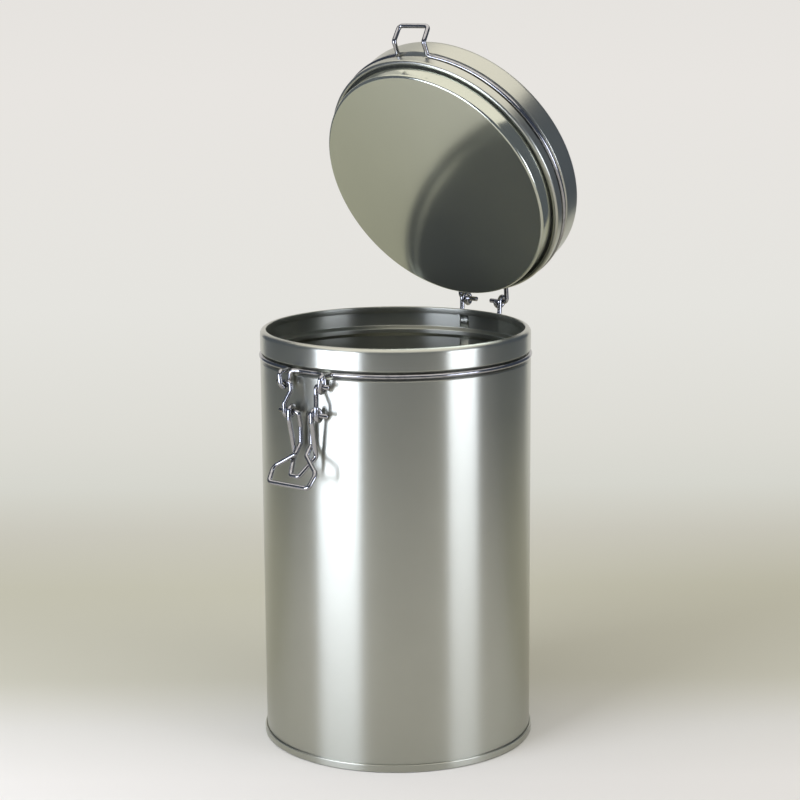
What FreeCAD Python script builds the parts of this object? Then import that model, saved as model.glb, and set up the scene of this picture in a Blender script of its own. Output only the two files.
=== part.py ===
"""Clip-lid tin: a round tinplate canister with a hinged lid and a wire clip.

Frame: the origin is the centre of the base on the table, +Z is up, the clip
is on the -Y side and the lid hinge on the +Y side.  Lengths in mm, angles in
degrees.  The lid parts are drawn closed and then turned open about the hinge.
"""
import FreeCAD, Part
import math
import os

import Sketcher
from FreeCAD import Vector

# Every driving size: alias, value and what it is.
SIZES = [
    # can body
    ("radius", 54.0, "outer radius of the can wall and of the lid wall"),
    ("height", 167.0, "base to the top of the rim"),
    ("wall", 0.5, "wall thickness of the can and the lid"),
    ("rim_round", 1.9, "outer rounding of the rolled rim"),
    ("rim_width", 2.4, "rim width, can wall to mouth"),
    ("rim_hem", 2.6, "depth of the hem turned down inside the mouth"),
    ("groove_drop", 10.5, "rim to the middle of the neck groove"),
    ("groove_slope", 1.05, "groove mouth above and below the ring wire"),
    ("groove_flat", 0.25, "groove floor short of the ring wire, above and below"),
    ("seam_lap", 0.2, "how far the side seam stands off the inner wall"),
    ("seam_angle", 4.8, "arc covered by the side seam"),
    ("seam_turn", 3.5, "side seam, turned from the hinge plane"),
    # can bottom, double seamed to the wall
    ("chime_height", 3.0, "height of the double seam at the base"),
    ("chime_proud", 0.75, "how far the double seam stands off the wall"),
    ("chime_web", 0.7, "metal under the wall inside the double seam"),
    ("chime_inner", 1.1, "wall outer face to the chuck wall outer face, less the seam gaps"),
    ("panel_rise", 3.1, "base panel above the table"),
    ("panel_sheet", 0.5, "sheet thickness of the base panel"),
    ("bead_inset", 12.0, "can wall to the middle of the stiffening bead in the base panel"),
    ("bead_width", 5.0, "width of the stiffening bead"),
    ("bead_depth", 0.7, "depth of the stiffening bead"),
    ("sheet_gap", 0.1, "gap between two sheets seamed together"),
    # lid
    ("lid_gap", 0.3, "lid edge above the rim when closed"),
    ("lid_depth", 18.1, "lid edge to the top of the lid"),
    ("lid_groove_rise", 6.0, "lid edge to the middle of the lid groove"),
    ("lid_hem", 1.7, "width of the hem turned in under the lid edge"),
    ("lid_edge_round", 1.1, "rounding of the lid edge"),
    ("lid_top_round", 3.0, "rounding of the lid top"),
    ("plug_clearance", 0.5, "plug to mouth, all round"),
    ("plug_depth", 6.6, "how far the plug reaches below the lid edge"),
    ("plug_sheet", 0.4, "sheet thickness of the plug"),
    ("plug_round", 1.2, "rounding of the plug edge"),
    ("plug_flange_gap", 0.6, "plug flange to the inner wall of the lid"),
    # wire
    ("wire", 1.9, "wire diameter"),
    ("ring_proud", 0.5, "how far a ring wire stands out of its groove"),
    ("floor_gap", 0.15, "ring wire to the groove floor"),
    ("lead", 1.737, "wire diameters, measured sideways, from a bend to its ring"),
    ("eye_play", 0.4, "play of a peg or rod in its eye or coil"),
    ("eye_height", 6.2, "height of the clip eyes, centre line to centre line"),
    ("turn_gap", 0.2, "gap between the two ends of one turn of an eye or ear"),
    ("eye_stand", 0.6, "clip eye wire to the wall"),
    # lid hinge
    ("hinge_stand", 6.4, "hinge axis behind the can wall"),
    ("hinge_rise", 3.2, "hinge axis above the rim"),
    ("ear_x", 9.6, "hinge ear, outer end, from the middle plane"),
    ("ear_set", 0.3, "foot of the hinge ear, one wire behind the can wall, less this"),
    ("arm_gap", 0.3, "hinge ear to the lid hinge arm"),
    ("hinge_peg", 8.2, "length of the lid hinge peg inside its arm"),
    ("lid_open", 63.5, "lid opening in this pose"),
    # lid catch
    ("catch_half", 7.3, "catch leg from the middle plane"),
    ("catch_shelf", 6.2, "level part of the catch legs"),
    ("catch_rise", 5.8, "catch bar above the lid groove"),
    ("catch_lean", 3.8, "catch bar outside the level part"),
    ("catch_draw", 0.15, "catch bar corner nearer the middle plane than the leg"),
    # lever of the clip
    ("lever_x", 6.3, "lever leg at its pivot, from the middle plane"),
    ("peg_reach", 2.4, "lever peg beyond the centre line of its eye"),
    ("coil_x", 7.9, "lever coil, outer end, from the middle plane"),
    ("coil_gap", 0.4, "gap between the two ends of a lever coil"),
    ("link_drop", 11.2, "bail pivot below the lever pivot"),
    ("shoulder_x", 5.3, "lever shoulder from the middle plane"),
    ("shoulder_in", 0.6, "lever shoulder inside the bail pivot"),
    ("shoulder_drop", 16.5, "lever shoulder below the bail pivot"),
    ("tip_x", 2.0, "half the width of the lever tip"),
    ("tip_out", 6.0, "lever tip outside the bail pivot"),
    ("tip_drop", 23.5, "lever tip below the bail pivot"),
    # bail of the clip
    ("rod_reach", 4.0, "bail rod beyond the centre line of its coil"),
    ("leg_gap", 1.0, "bail leg to the lever leg beside it"),
    ("bail_in", 1.3, "bail leg inside the bail pivot"),
    ("bail_upper", 5.5, "bail leg, end of its slant below the pivot"),
    ("bail_lower", 12.1, "bail leg, kink below the pivot"),
    ("neck_gap", 0.1, "bail neck outside the bail pivot, beyond one wire"),
    ("neck_drop", 16.0, "bail neck below the bail pivot"),
    ("bell_x", 10.6, "widest half width of the bail loop"),
    ("bell_run", 6.5, "neck to the widest place, along the loop"),
    ("bell_length", 12.9, "neck to the bar, along the loop"),
    ("bar_x", 9.8, "half the width of the bail bar"),
    ("bell_lean", 37.0, "lean of the bail loop from the wall"),
]

doc = FreeCAD.newDocument("ClipLidTin")
sheet = doc.addObject("Spreadsheet::Sheet", "Sizes")
for row, (alias, value, note) in enumerate(SIZES, start=1):
    sheet.set(f"A{row}", note)
    sheet.set(f"B{row}", str(value))
    sheet.setAlias(f"B{row}", alias)
doc.recompute()

ALIASES = {alias for alias, value, note in SIZES}
EPS = 1e-6


def size(expression):
    """Return the value of an expression over the sheet's aliases."""
    return float(sheet.evalExpression(expression))


def bound(expression):
    """Return the expression with every alias written as a sheet reference."""
    words = []
    word = ""
    for char in expression + " ":
        if char.isalnum() or char == "_":
            word += char
            continue
        words.append(f"Sizes.{word}" if word in ALIASES else word)
        words.append(char)
        word = ""
    return "".join(words).strip()


# ---------------------------------------------------------------- turned parts
def add_profile(body, plane, points):
    """Add a closed sketch whose corners are (radius, height) expressions."""
    sketch = body.newObject("Sketcher::SketchObject", body.Label + "_profile")
    sketch.AttachmentSupport = [(plane, "")]
    sketch.MapMode = "FlatFace"
    corners = [Vector(size(r), size(z), 0) for r, z in points]
    count = len(corners)
    for index, corner in enumerate(corners):
        sketch.addGeometry(Part.LineSegment(corner, corners[(index + 1) % count]), False)
    for index in range(count):
        following = (index + 1) % count
        sketch.addConstraint(Sketcher.Constraint("Coincident", index, 2, following, 1))
    for index, (r, z) in enumerate(points):
        if r == "0":
            sketch.addConstraint(Sketcher.Constraint("PointOnObject", index, 1, -2))
        else:
            bind_corner(sketch, "DistanceX", index, corners[index].x, r)
        if z == "0":
            sketch.addConstraint(Sketcher.Constraint("PointOnObject", index, 1, -1))
        else:
            bind_corner(sketch, "DistanceY", index, corners[index].y, z)
    return sketch


def bind_corner(sketch, kind, index, value, expression):
    """Hold a corner at a bound distance from the sketch origin."""
    number = sketch.addConstraint(Sketcher.Constraint(kind, -1, 1, index, 1, value))
    sketch.setExpression(f"Constraints[{number}]", bound(expression))


def origin_plane(body, name):
    """Return one of the body's own origin planes."""
    return [item for item in body.Origin.OriginFeatures if name in item.Name][0]


def revolve(body, sketch, angle=360.0):
    """Turn a profile about the can axis."""
    turn = body.newObject("PartDesign::Revolution", body.Label + "_turn")
    turn.Profile = sketch
    turn.ReferenceAxis = (sketch, ["V_Axis"])
    turn.Angle = angle
    sketch.Visibility = False
    doc.recompute()
    return turn


def round_rings(body, rings, radius):
    """Fillet the ring edges that lie at the given (radius, height) places."""
    tip = body.Tip
    names = []
    for r, z in rings:
        place = (size(r), size(z))
        for number, edge in enumerate(tip.Shape.Edges, start=1):
            curve = edge.Curve
            if not isinstance(curve, Part.Circle):
                continue
            if abs(curve.Radius - place[0]) < 1e-4 and abs(curve.Center.z - place[1]) < 1e-4:
                names.append(f"Edge{number}")
    fillet = body.newObject("PartDesign::Fillet", body.Label + "_round")
    fillet.Base = (tip, names)
    fillet.Radius = size(radius)
    fillet.setExpression("Radius", bound(radius))
    doc.recompute()
    return fillet


def turned_body(label, points):
    """Return a PartDesign body turned from one closed profile."""
    body = doc.addObject("PartDesign::Body", label)
    body.Label = label
    doc.recompute()
    sketch = add_profile(body, origin_plane(body, "XZ_Plane"), points)
    revolve(body, sketch)
    return body


FLOOR = "(radius + ring_proud - wire - floor_gap)"
MOUTH_HALF = "(wire / 2 + groove_slope)"
FLOOR_HALF = "(wire / 2 - groove_flat)"
NECK_MIDDLE = "height - groove_drop"


def groove_outside(middle):
    """Corners of a groove in the outer face of a wall, from below to above."""
    return [
        ("radius", f"{middle} - {MOUTH_HALF}"),
        (FLOOR, f"{middle} - {FLOOR_HALF}"),
        (FLOOR, f"{middle} + {FLOOR_HALF}"),
        ("radius", f"{middle} + {MOUTH_HALF}"),
    ]


def groove_inside(middle):
    """Corners of the same groove seen from inside, from above to below."""
    return [
        ("radius - wall", f"{middle} + {MOUTH_HALF} + wall / 3"),
        (f"{FLOOR} - wall", f"{middle} + {FLOOR_HALF} + wall / 3"),
        (f"{FLOOR} - wall", f"{middle} - {FLOOR_HALF} - wall / 3"),
        ("radius - wall", f"{middle} - {MOUTH_HALF} - wall / 3"),
    ]


def round_groove(body, middle):
    """Soften the four outer and four inner corners of a groove."""
    round_rings(body, groove_outside(middle) + groove_inside(middle), "wall * 0.8")


def make_can_body():
    """The tinplate wall with its neck groove, rolled rim and side seam."""
    foot = "chime_web + sheet_gap"
    mouth = "radius - rim_width"
    middle = NECK_MIDDLE
    points = [("radius", foot)]
    points += groove_outside(middle)
    points += [
        ("radius", "height"),
        (mouth, "height"),
        (mouth, "height - rim_hem"),
        (f"{mouth} + wall", "height - rim_hem"),
        (f"{mouth} + wall", "height - wall"),
        ("radius - wall", "height - wall"),
    ]
    points += groove_inside(middle)
    points += [("radius - wall", foot)]
    body = turned_body("can_body", points)
    round_rings(body, [("radius", "height")], "rim_round")
    round_rings(body, [("radius - wall", "height - wall")], "(rim_round - wall) * 0.9")
    round_rings(body, [(mouth, "height")], "wall * 0.9")
    round_groove(body, middle)
    add_side_seam(body, middle)
    return body


def add_side_seam(body, middle):
    """A lapped seam strip up the inside of the wall, near the hinge plane."""
    inner = "radius - wall - seam_lap"
    outer = "radius - wall / 2"
    start = "seam_angle / -2 - seam_turn"
    spans = [
        ("panel_rise + panel_sheet + wall", f"{middle} - {MOUTH_HALF} - wall"),
        (f"{middle} + {MOUTH_HALF} + wall", "height - rim_hem"),
    ]
    for low, high in spans:
        points = [(inner, low), (outer, low), (outer, high), (inner, high)]
        strip = add_profile(body, origin_plane(body, "YZ_Plane"), points)
        turn = FreeCAD.Rotation(Vector(0, 1, 0), size(start))
        strip.AttachmentOffset = FreeCAD.Placement(Vector(0, 0, 0), turn)
        strip.setExpression("AttachmentOffset.Rotation.Angle", bound(start))
        seam = revolve(body, strip, size("seam_angle"))
        seam.setExpression("Angle", bound("seam_angle"))
    doc.recompute()


def make_can_bottom():
    """The base panel with its bead and the double seam round the wall's foot."""
    chuck_out = "radius - wall - sheet_gap"
    chuck_in = "radius - chime_inner"
    skirt_in = "radius + sheet_gap"
    skirt_out = "radius + chime_proud"
    top = "panel_rise + panel_sheet"
    bead_low = "radius - bead_inset - bead_width / 2"
    bead_high = "radius - bead_inset + bead_width / 2"
    points = [
        ("0", "panel_rise"),
        (bead_low, "panel_rise"),
        (f"{bead_low} + bead_depth", "panel_rise - bead_depth"),
        (f"{bead_high} - bead_depth", "panel_rise - bead_depth"),
        (bead_high, "panel_rise"),
        (chuck_in, "panel_rise"),
        (chuck_in, "0"),
        (skirt_out, "0"),
        (skirt_out, "chime_height"),
        (skirt_in, "chime_height"),
        (skirt_in, "chime_web"),
        (chuck_out, "chime_web"),
        (chuck_out, top),
        (bead_high, top),
        (f"{bead_high} - bead_depth", f"{top} - bead_depth"),
        (f"{bead_low} + bead_depth", f"{top} - bead_depth"),
        (bead_low, top),
        ("0", top),
    ]
    body = turned_body("can_bottom", points)
    round_rings(body, [(skirt_out, "0"), (chuck_in, "0")], "chime_web * 0.6")
    round_rings(body, [(skirt_out, "chime_height")], "(chime_proud - sheet_gap) * 0.6")
    return body


# ----------------------------------------------------------------- lid, closed
EDGE = "(height + lid_gap)"
PLUG_RADIUS = "(radius - rim_width - plug_clearance)"


def make_lid_cap():
    """The drawn lid shell with its groove and the hem under its edge."""
    middle = f"{EDGE} + lid_groove_rise"
    top = f"{EDGE} + lid_depth"
    points = [("radius - lid_hem", EDGE), ("radius", EDGE)]
    points += groove_outside(middle)
    points += [("radius", top), ("0", top), ("0", f"{top} - wall"), ("radius - wall", f"{top} - wall")]
    points += groove_inside(middle)
    points += [("radius - wall", f"{EDGE} + wall"), ("radius - lid_hem", f"{EDGE} + wall")]
    body = turned_body("lid_cap", points)
    round_rings(body, [("radius", EDGE)], "lid_edge_round")
    round_rings(body, [("radius - wall", f"{EDGE} + wall")], "lid_edge_round - wall")
    round_rings(body, [("radius", top)], "lid_top_round")
    round_rings(body, [("radius - wall", f"{top} - wall")], "lid_top_round - wall")
    round_groove(body, middle)
    return body


def make_lid_plug():
    """The pressed plug that fills the mouth, its flange held over the lid hem."""
    face = f"{EDGE} - plug_depth"
    seat = f"{EDGE} + wall + sheet_gap"
    flange = "radius - wall - plug_flange_gap"
    points = [
        ("0", face),
        (PLUG_RADIUS, face),
        (PLUG_RADIUS, seat),
        (flange, seat),
        (flange, f"{seat} + plug_sheet"),
        (f"{PLUG_RADIUS} - plug_sheet", f"{seat} + plug_sheet"),
        (f"{PLUG_RADIUS} - plug_sheet", f"{face} + plug_sheet"),
        ("0", f"{face} + plug_sheet"),
    ]
    body = turned_body("lid_plug", points)
    round_rings(body, [(PLUG_RADIUS, face)], "plug_round")
    inner = (f"{PLUG_RADIUS} - plug_sheet", f"{face} + plug_sheet")
    round_rings(body, [inner], "plug_round - plug_sheet")
    return body


# ------------------------------------------------------------------ bent wires
def bent_edges(points, bends):
    """Edges through the points, each inner corner bent to its own radius."""
    edges = []
    last = points[0]
    for index in range(1, len(points) - 1):
        corner = points[index]
        before = (points[index - 1] - corner).normalize()
        after = (points[index + 1] - corner).normalize()
        half = before.getAngle(after) / 2
        bend = bends[index - 1]
        setback = bend / math.tan(half)
        bisector = (before + after).normalize()
        start = corner + before * setback
        middle = corner + bisector * (bend / math.sin(half) - bend)
        end = corner + after * setback
        if (start - last).Length > EPS:
            edges.append(Part.makeLine(last, start))
        edges.append(Part.Arc(start, middle, end).toShape())
        last = end
    if (points[-1] - last).Length > EPS:
        edges.append(Part.makeLine(last, points[-1]))
    return edges


def ring_point(ring_radius, angle, z):
    """A point of a ring; 0 degrees is the front, 180 the back, +X between."""
    turn = math.radians(angle)
    return Vector(ring_radius * math.sin(turn), -ring_radius * math.cos(turn), z)


def ring_arc(ring_radius, start, end, z):
    """The arc of a ring between two angles."""
    middle = (start + end) / 2
    places = [ring_point(ring_radius, angle, z) for angle in (start, middle, end)]
    return Part.Arc(*places).toShape()


def tangent_point(ring_radius, angle, x, z):
    """Where the tangent of the ring at an angle crosses the plane at x."""
    touch = ring_point(ring_radius, angle, z)
    turn = math.radians(angle)
    run = (x - touch.x) / math.cos(turn)
    return touch + Vector(math.cos(turn), math.sin(turn), 0) * run


def wire_form(label, edges):
    """Sweep half a symmetric wire from the middle plane, mirror and join it."""
    path = doc.addObject("Part::Feature", label + "_path")
    path.Shape = Part.Wire(edges)
    section = doc.addObject("Part::Circle", label + "_section")
    section.Radius = size("wire / 2")
    section.setExpression("Radius", bound("wire / 2"))
    start = edges[0].valueAt(edges[0].FirstParameter)
    heading = edges[0].tangentAt(edges[0].FirstParameter)
    section.Placement = FreeCAD.Placement(start, FreeCAD.Rotation(Vector(0, 0, 1), heading))
    half = doc.addObject("Part::Sweep", label + "_half")
    half.Sections = [section]
    half.Spine = (path, [f"Edge{number}" for number in range(1, len(edges) + 1)])
    half.Solid = True
    half.Frenet = False
    mirror = doc.addObject("Part::Mirroring", label + "_mirror")
    mirror.Source = half
    mirror.Normal = Vector(1, 0, 0)
    joined = doc.addObject("Part::MultiFuse", label)
    joined.Label = label
    joined.Shapes = [half, mirror]
    joined.Refine = True
    doc.recompute()
    return joined


RING = size("radius + ring_proud - wire / 2")
NECK = size(NECK_MIDDLE)
BEND = size("wire") * 0.85  # bend radius of a plain bend, at the centre line
SHORT = size("wire") * 0.55  # the tightest bend the wire takes
LOOP = size("wire + eye_play / 2")
TIGHT = LOOP * 0.97  # corners of a turn of wire, so that it is all but round
LEAD = size("lead * wire")
EYE_STEP = size("wire + turn_gap")
EYE_X = size("lever_x + wire")

# How much of its sideways step a turn of wire has made at each corner.
STEPS = (0.0, 0.3, 0.6, 0.95, 1.0)


def coil_corners(x, step, places):
    """Centre-line corners of a turn of wire through the (y, z) places."""
    return [Vector(x + step * share, y, z) for share, (y, z) in zip(STEPS, places)]


def clip_eye():
    """Centre-line corners of the tall eye that carries the lever peg."""
    low = NECK - size("eye_height")
    wall_face = math.sqrt(size("radius") ** 2 - EYE_X ** 2)
    near = -(wall_face + size("eye_stand + wire / 2"))
    far = near - 2 * LOOP
    places = [(near, NECK), (near, low), (far, low), (far, NECK)]
    return coil_corners(EYE_X, EYE_STEP, places)


EYE = clip_eye()
LEVER_Y = (EYE[1].y + EYE[2].y) / 2
LEVER_Z = EYE[1].z + LOOP
PIVOT_Y = LEVER_Y
PIVOT_Z = LEVER_Z - size("link_drop")
HINGE_Y = size("radius + hinge_stand")
HINGE_Z = size("height + hinge_rise")


def ring_angle(x):
    """The angle from the front at which the ring is x from the middle plane."""
    return math.degrees(math.asin(x / RING))


def make_body_ring():
    """Neck ring: one wire with a clip eye each side and a hinge ear each side."""
    bridge_x = EYE_X - LEAD
    eye_out = EYE_X + EYE_STEP
    ear_x = size("ear_x")
    leave = ring_angle(bridge_x / 2)
    side = ring_angle(eye_out + LEAD)
    back = 180 - ring_angle(ear_x + LEAD)
    eye_run = [
        ring_point(RING, leave, NECK),
        tangent_point(RING, leave, bridge_x, NECK),
        *EYE,
        tangent_point(RING, side, eye_out, NECK),
        ring_point(RING, side, NECK),
    ]
    near = HINGE_Y - LOOP
    far = HINGE_Y + LOOP
    high = HINGE_Z + LOOP
    low = HINGE_Z - LOOP
    ear_run = [
        ring_point(RING, back, NECK),
        tangent_point(RING, back, ear_x, NECK),
        Vector(ear_x, size("radius + wire - ear_set"), NECK),
        Vector(ear_x, near, low - BEND),
        *coil_corners(
            ear_x,
            -EYE_STEP,
            [(near, high), (far, high), (far, low), (near, low), (near, HINGE_Z)],
        ),
    ]
    edges = [ring_arc(RING, 0, leave, NECK)]
    edges += bent_edges(eye_run, [2 * BEND, BEND, TIGHT, TIGHT, BEND, BEND])
    edges += [ring_arc(RING, side, back, NECK)]
    edges += bent_edges(ear_run, [BEND, BEND, BEND, TIGHT, TIGHT, TIGHT, TIGHT])
    return wire_form("body_ring", edges)


def make_lid_ring():
    """Lid ring: one wire with the catch at the front and hinge pegs behind."""
    groove = size(f"{EDGE} + lid_groove_rise")
    half = size("catch_half")
    arm_x = size("ear_x + wire + arm_gap")
    side = ring_angle(half + LEAD)
    back = 180 - ring_angle(arm_x + LEAD)
    foot = tangent_point(RING, side, half, groove)
    shelf = foot.y - size("catch_shelf")
    bar_y = shelf - size("catch_lean")
    bar_z = groove + size("catch_rise")
    catch_run = [
        Vector(0, bar_y, bar_z),
        Vector(half - size("catch_draw"), bar_y, bar_z),
        Vector(half, shelf, groove),
        foot,
        ring_point(RING, side, groove),
    ]
    hinge_run = [
        ring_point(RING, back, groove),
        tangent_point(RING, back, arm_x, groove),
        Vector(arm_x, HINGE_Y, HINGE_Z),
        Vector(arm_x - size("hinge_peg"), HINGE_Y, HINGE_Z),
    ]
    edges = bent_edges(catch_run, [BEND, BEND, BEND])
    edges += [ring_arc(RING, side, back, groove)]
    edges += bent_edges(hinge_run, [BEND, BEND])
    return wire_form("lid_ring", edges)


def make_clip_lever():
    """Lever: pegs in the eyes, one coil turn each side, a narrow finger tip."""
    turn = size("wire + coil_gap")
    inner_x = size("coil_x") - turn
    lever_x = size("lever_x")
    out = PIVOT_Y - LOOP
    wall_side = PIVOT_Y + LOOP
    high = PIVOT_Z + LOOP
    low = PIVOT_Z - LOOP
    shoulder_y = PIVOT_Y + size("shoulder_in")
    shoulder_z = PIVOT_Z - size("shoulder_drop")
    tip_y = PIVOT_Y - size("tip_out")
    tip_z = PIVOT_Z - size("tip_drop")
    points = [
        Vector(0, tip_y, tip_z),
        Vector(size("tip_x"), tip_y, tip_z),
        Vector(size("shoulder_x"), shoulder_y, shoulder_z),
        Vector(inner_x, out, low - SHORT),
        *coil_corners(
            inner_x,
            turn,
            [(out, high), (wall_side, high), (wall_side, low), (out, low), (out, high + SHORT)],
        ),
        Vector(lever_x, LEVER_Y, LEVER_Z - 2 * BEND),
        Vector(lever_x, LEVER_Y, LEVER_Z),
        Vector(EYE_X + EYE_STEP + size("peg_reach"), LEVER_Y, LEVER_Z),
    ]
    bends = [SHORT, BEND, 2 * BEND, TIGHT, TIGHT, TIGHT, TIGHT, BEND, BEND, SHORT]
    return wire_form("clip_lever", bent_edges(points, bends))


def make_clip_bail():
    """Bail: a rod through the lever coils, narrow legs and a bell-shaped loop."""
    lean = math.radians(size("bell_lean"))
    leg = size("coil_x - coil_gap - 2 * wire - leg_gap")
    neck = Vector(leg, PIVOT_Y - size("wire + neck_gap"), PIVOT_Z - size("neck_drop"))
    along = Vector(0, -math.sin(lean), -math.cos(lean))
    bar = neck + along * size("bell_length")
    wide = neck + along * size("bell_run")
    inside = PIVOT_Y + size("bail_in")
    points = [
        Vector(0, bar.y, bar.z),
        Vector(size("bar_x"), bar.y, bar.z),
        Vector(size("bell_x"), wide.y, wide.z),
        neck,
        Vector(leg, inside, PIVOT_Z - size("bail_lower")),
        Vector(leg, inside, PIVOT_Z - size("bail_upper")),
        Vector(leg, PIVOT_Y, PIVOT_Z),
        Vector(size("coil_x + rod_reach"), PIVOT_Y, PIVOT_Z),
    ]
    bends = [BEND, 2 * BEND, SHORT, BEND, BEND, SHORT]
    return wire_form("clip_bail", bent_edges(points, bends))


# --------------------------------------------------------------------- assembly
def turn_open(part):
    """Turn a closed lid part open about the hinge axis."""
    part.Placement = FreeCAD.Placement(Vector(0, 0, 0), FreeCAD.Rotation(Vector(-1, 0, 0), 1))
    back = "(Sizes.radius + Sizes.hinge_stand)"
    rise = "(Sizes.height + Sizes.hinge_rise)"
    turn = "Sizes.lid_open * 1deg"
    part.setExpression("Placement.Rotation.Angle", "Sizes.lid_open")
    part.setExpression("Placement.Base.y", f"{back} - {back} * cos({turn}) - {rise} * sin({turn})")
    part.setExpression("Placement.Base.z", f"{rise} + {back} * sin({turn}) - {rise} * cos({turn})")
    doc.recompute()


can_parts = [make_can_body(), make_can_bottom(), make_body_ring()]
lid_parts = [make_lid_cap(), make_lid_plug(), make_lid_ring()]
clip_parts = [make_clip_lever(), make_clip_bail()]
for lid_part in lid_parts:
    turn_open(lid_part)
doc.recompute()

for item in doc.Objects:
    if "Invalid" in item.State or "Error" in item.State:
        raise RuntimeError(f"{item.Label} did not build")

os.makedirs("parts", exist_ok=True)
for part in can_parts + lid_parts + clip_parts:
    shape = part.Shape
    if not shape.isValid() or len(shape.Solids) != 1:
        raise RuntimeError(f"{part.Label} is not one valid solid")
    shape.exportStep(f"parts/{part.Label}.step")
    print(f"{part.Label}: volume {shape.Volume:.1f} mm3")
print(f"hinge axis y {HINGE_Y:.3f} z {HINGE_Z:.3f}")
print(f"lever axis y {LEVER_Y:.3f} z {LEVER_Z:.3f}")
print(f"bail axis y {PIVOT_Y:.3f} z {PIVOT_Z:.3f}")
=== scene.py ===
"""Clip-lid tin: the looks of a round tinplate canister with a hinged lid and a wire clip.

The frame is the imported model's: the origin is the centre of the base on the
table, +Z is up, the clip hangs on the -Y side and the lid is hinged on +Y.
Sizes are written in millimetres and turned to metres as meshes are made.
"""

import logging
import math
from dataclasses import dataclass
from enum import Enum
from typing import Optional, Sequence

import bmesh
import bpy
from mathutils import Matrix, Vector

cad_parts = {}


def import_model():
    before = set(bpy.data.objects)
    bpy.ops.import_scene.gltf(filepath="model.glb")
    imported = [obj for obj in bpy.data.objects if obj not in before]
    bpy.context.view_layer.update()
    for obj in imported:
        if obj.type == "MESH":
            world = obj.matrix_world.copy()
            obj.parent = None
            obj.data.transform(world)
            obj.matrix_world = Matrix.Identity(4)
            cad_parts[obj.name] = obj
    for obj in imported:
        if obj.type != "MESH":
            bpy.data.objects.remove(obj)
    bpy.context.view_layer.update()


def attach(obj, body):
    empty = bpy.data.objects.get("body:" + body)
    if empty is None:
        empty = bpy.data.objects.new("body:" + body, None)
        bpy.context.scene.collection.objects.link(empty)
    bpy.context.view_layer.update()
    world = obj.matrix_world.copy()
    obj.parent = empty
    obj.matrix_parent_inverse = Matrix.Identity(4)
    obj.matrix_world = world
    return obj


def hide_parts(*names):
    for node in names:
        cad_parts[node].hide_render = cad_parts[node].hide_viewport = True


MM = 0.001
SHEET_WELD = 0.002 * MM
WIRE_WELD = 0.001 * MM
QUARTER_TURN = 0.25
# Colour sockets of a Mix node, which have no names of their own.
MIX_FIRST, MIX_SECOND, MIX_RESULT = 6, 7, 2
log = logging.getLogger("clip_lid_tin")


class Body(str, Enum):
    """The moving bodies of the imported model."""

    CAN = "can"
    LID = "lid"
    LEVER = "lever"
    BAIL = "bail"


class Slot(str, Enum):
    """The two material slots."""

    TINPLATE = "tinplate"
    STEEL_WIRE = "steel_wire"


# ---- small tools ----
def linear(hex_colour: str) -> tuple[float, float, float, float]:
    """Turn an sRGB hex colour into linear values.

    Args:
        hex_colour: Six hex digits with a leading hash.

    Returns:
        Linear red, green, blue and an alpha of one.
    """
    digits = hex_colour.lstrip("#")
    channels = [int(digits[place : place + 2], 16) / 255 for place in (0, 2, 4)]
    values = [c / 12.92 if c <= 0.04045 else ((c + 0.055) / 1.055) ** 2.4 for c in channels]
    return (values[0], values[1], values[2], 1.0)


def add_node(
    tree: bpy.types.NodeTree,
    kind: str,
    settings: Optional[dict[str, object]] = None,
    inputs: Optional[dict[object, object]] = None,
) -> bpy.types.Node:
    """Add a shader node with its settings, constants and links.

    Args:
        tree: The node tree that takes the node.
        kind: The node's type name.
        settings: Attributes of the node itself.
        inputs: Input name or number to a constant, or to an output socket.

    Returns:
        The new node.
    """
    node = tree.nodes.new(kind)
    for name, value in (settings or {}).items():
        setattr(node, name, value)
    for name, value in (inputs or {}).items():
        if isinstance(value, bpy.types.NodeSocket):
            tree.links.new(value, node.inputs[name])
        else:
            node.inputs[name].default_value = value
    return node


def fresh_material(name: str) -> tuple[bpy.types.Material, bpy.types.NodeTree]:
    """Start a material with an empty node tree.

    Args:
        name: The material's name.

    Returns:
        The material and its node tree.
    """
    material = bpy.data.materials.new(name)
    material.use_nodes = True
    material.node_tree.nodes.clear()
    return material, material.node_tree


def dress(piece: bpy.types.Object, material: bpy.types.Material) -> None:
    """Give a piece one material in place of whatever it had."""
    piece.data.materials.clear()
    piece.data.materials.append(material)


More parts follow.
